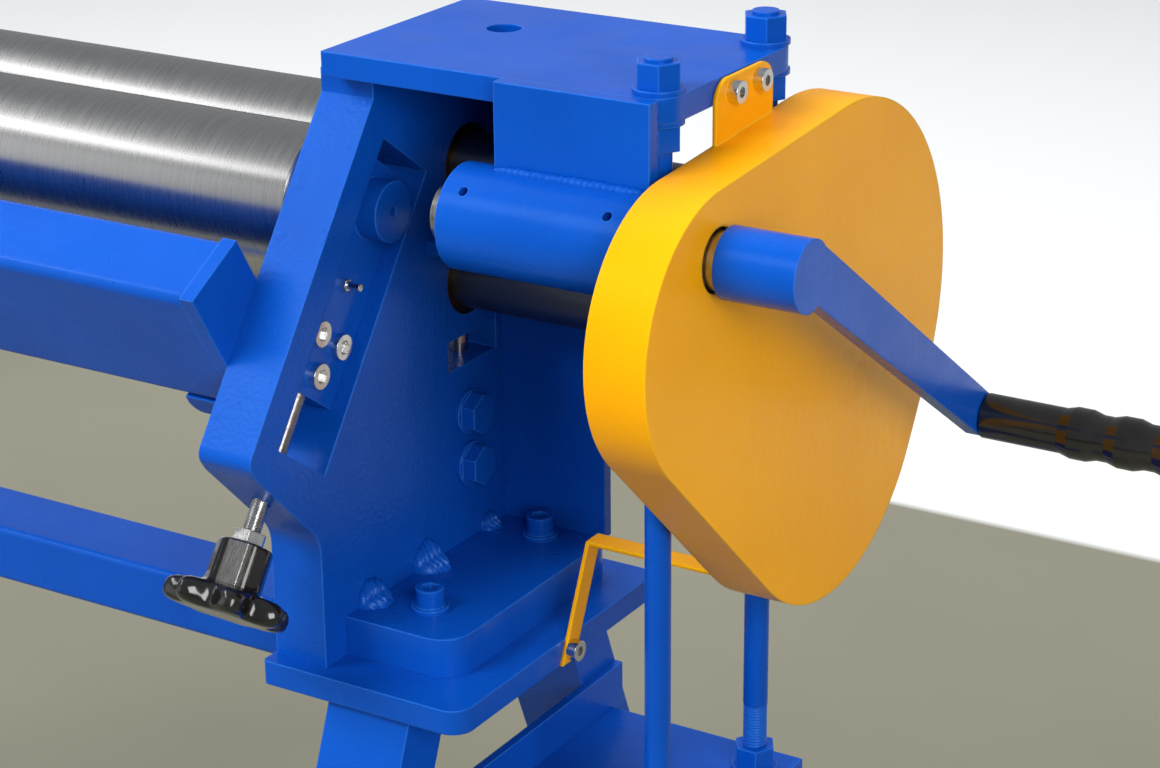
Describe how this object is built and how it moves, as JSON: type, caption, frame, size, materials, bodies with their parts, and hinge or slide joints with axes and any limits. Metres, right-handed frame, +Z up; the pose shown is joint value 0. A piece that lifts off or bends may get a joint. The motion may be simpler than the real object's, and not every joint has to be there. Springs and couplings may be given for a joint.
{
  "type": "slip roll machine",
  "caption": "Hand-cranked slip roll on a splayed stand: geared pinch rolls and a rear-lifted bending roll between end frames curl sheet metal.",
  "frame": {"origin": "middle of the four floor bolt holes, on the floor", "axes": "+X along the rolls towards the crank, -Y towards the bending roll's side, +Z up"},
  "size_m": [1.695, 0.8182, 1.035],
  "materials": {
    "blue_enamel": "gloss enamel",
    "blue_casting": "gloss enamel on a cast skin",
    "yellow_powder": "textured powder coat",
    "ground_steel": "ground",
    "bright_steel": "zinc plated",
    "black_gloss": "gloss",
    "bronze": "bronze"
  },
  "bodies": {
    "frame": {"right_end_frame": "blue_casting", "left_end_frame": "blue_casting", "right_foot_plate": "blue_enamel", "left_foot_plate": "blue_enamel", "foot_plate_screws": "blue_enamel", "outrigger_rear_plate": "blue_enamel", "front_beam": "blue_enamel", "beam_brackets": "blue_enamel", "bracket_bolts": "blue_enamel", "oil_plug": "blue_enamel", "outrigger_cap": "blue_enamel", "outrigger_apron": "blue_enamel", "crank_tube": "blue_enamel", "crank_bushes": "bronze", "outer_bearing_block": "blue_enamel", "upper_roll_bushes": "bronze", "tie_rods": "blue_enamel", "tie_rod_nuts": "blue_enamel", "tie_rod_washers": "blue_enamel", "rod_shelf": "blue_enamel", "right_stand_plate": "blue_enamel", "left_stand_plate": "blue_enamel", "stand_rail": "blue_enamel", "right_front_leg": "blue_enamel", "right_rear_leg": "blue_enamel", "left_front_leg": "blue_enamel", "left_rear_leg": "blue_enamel", "floor_pads": "blue_enamel", "cross_bars": "blue_enamel", "gear_guard": "yellow_powder", "guard_screws": "bright_steel", "guard_strap": "yellow_powder", "latch_studs": "bright_steel"},
    "crank": {"crank_shaft": "ground_steel", "crank_pinion": "ground_steel", "crank_arm": "blue_enamel", "grip_spindle": "bright_steel"},
    "grip": {"crank_grip": "black_gloss"},
    "lower_carriage": {"lower_roll_blocks": "blue_enamel", "lower_roll_bushes": "bronze"},
    "right_lifter": {"right_lift_screw": "bright_steel"},
    "left_lifter": {"left_lift_screw": "bright_steel"},
    "lower_roll_set": {"lower_roll": "ground_steel", "lower_roll_gear": "ground_steel", "drive_wheel": "ground_steel"},
    "upper_roll_set": {"upper_roll": "ground_steel", "upper_roll_gear": "ground_steel"},
    "bending_carriage": {"right_slide_block": "blue_enamel", "left_slide_block": "blue_enamel", "slide_block_bushes": "bronze", "slide_block_screws": "bright_steel"},
    "right_adjuster": {"right_adjusting_screw": "bright_steel", "right_star_knob": "black_gloss", "right_lock_nut": "bright_steel"},
    "left_adjuster": {"left_adjusting_screw": "bright_steel", "left_star_knob": "black_gloss", "left_lock_nut": "bright_steel"},
    "idle_roll": {"bending_roll": "ground_steel"},
    "latch": {"release_latch": "blue_enamel"},
    "latch_knob": {"release_knob": "black_gloss"}
  },
  "joints": [
    {"name": "crank_turn", "type": "hinge", "parent": "frame", "child": "crank", "pos_m": [0.8, -0.0605, 0.93277], "axis": [1, 0, 0], "continuous": true},
    {"name": "grip_spin", "type": "hinge", "parent": "crank", "child": "grip", "pos_m": [0.94, 0.18967, 0.76719], "axis": [1, 0, 0], "continuous": true},
    {"name": "lower_roll_lift", "type": "slide", "parent": "frame", "child": "lower_carriage", "axis": [0, 0, 1], "range_m": [-0.0015, 0]},
    {"name": "right_lift_screw_turn", "type": "hinge", "parent": "lower_carriage", "child": "right_lifter", "pos_m": [0.549, 0.0775, 0.64], "axis": [0, 0, 1], "range_deg": [-310, 0]},
    {"name": "left_lift_screw_turn", "type": "hinge", "parent": "lower_carriage", "child": "left_lifter", "pos_m": [-0.549, 0.0775, 0.64], "axis": [0, 0, 1], "range_deg": [-310, 0]},
    {"name": "lower_roll_turn", "type": "hinge", "parent": "lower_carriage", "child": "lower_roll_set", "pos_m": [0, 0.0645, 0.8455], "axis": [1, 0, 0], "continuous": true},
    {"name": "upper_roll_turn", "type": "hinge", "parent": "frame", "child": "upper_roll_set", "pos_m": [0, 0.0645, 0.9215], "axis": [1, 0, 0], "continuous": true},
    {"name": "bending_roll_lift", "type": "slide", "parent": "frame", "child": "bending_carriage", "axis": [0, 0.5878, 0.809], "range_m": [-0.038, 0.008]},
    {"name": "right_adjusting_screw_turn", "type": "hinge", "parent": "bending_carriage", "child": "right_adjuster", "pos_m": [0.549, -0.18264, 0.69604], "axis": [0, 0.5878, 0.809], "range_deg": [-7818, 1647]},
    {"name": "left_adjusting_screw_turn", "type": "hinge", "parent": "bending_carriage", "child": "left_adjuster", "pos_m": [-0.549, -0.18264, 0.69604], "axis": [0, 0.5878, 0.809], "range_deg": [-7818, 1647]},
    {"name": "bending_roll_turn", "type": "hinge", "parent": "bending_carriage", "child": "idle_roll", "pos_m": [0, -0.02482, 0.91326], "axis": [1, 0, 0], "continuous": true},
    {"name": "release_latch_swing", "type": "hinge", "parent": "frame", "child": "latch", "pos_m": [-0.582, 0.0205, 0.94], "axis": [1, 0, 0], "range_deg": [0, 85]},
    {"name": "release_knob_turn", "type": "hinge", "parent": "frame", "child": "latch_knob", "pos_m": [-0.601, -0.00714, 0.97294], "axis": [1, 0, 0], "continuous": true}
  ],
  "couplings": [
    {"joint": "lower_roll_turn", "follows": "crank_turn", "ratio": -0.19178},
    {"joint": "upper_roll_turn", "follows": "crank_turn", "ratio": 0.19178},
    {"joint": "right_lift_screw_turn", "follows": "lower_roll_lift", "rad_per_m": 3590.4},
    {"joint": "left_lift_screw_turn", "follows": "lower_roll_lift", "rad_per_m": 3590.4},
    {"joint": "right_adjusting_screw_turn", "follows": "bending_roll_lift", "rad_per_m": 3590.4},
    {"joint": "left_adjusting_screw_turn", "follows": "bending_roll_lift", "rad_per_m": 3590.4}
  ]
}
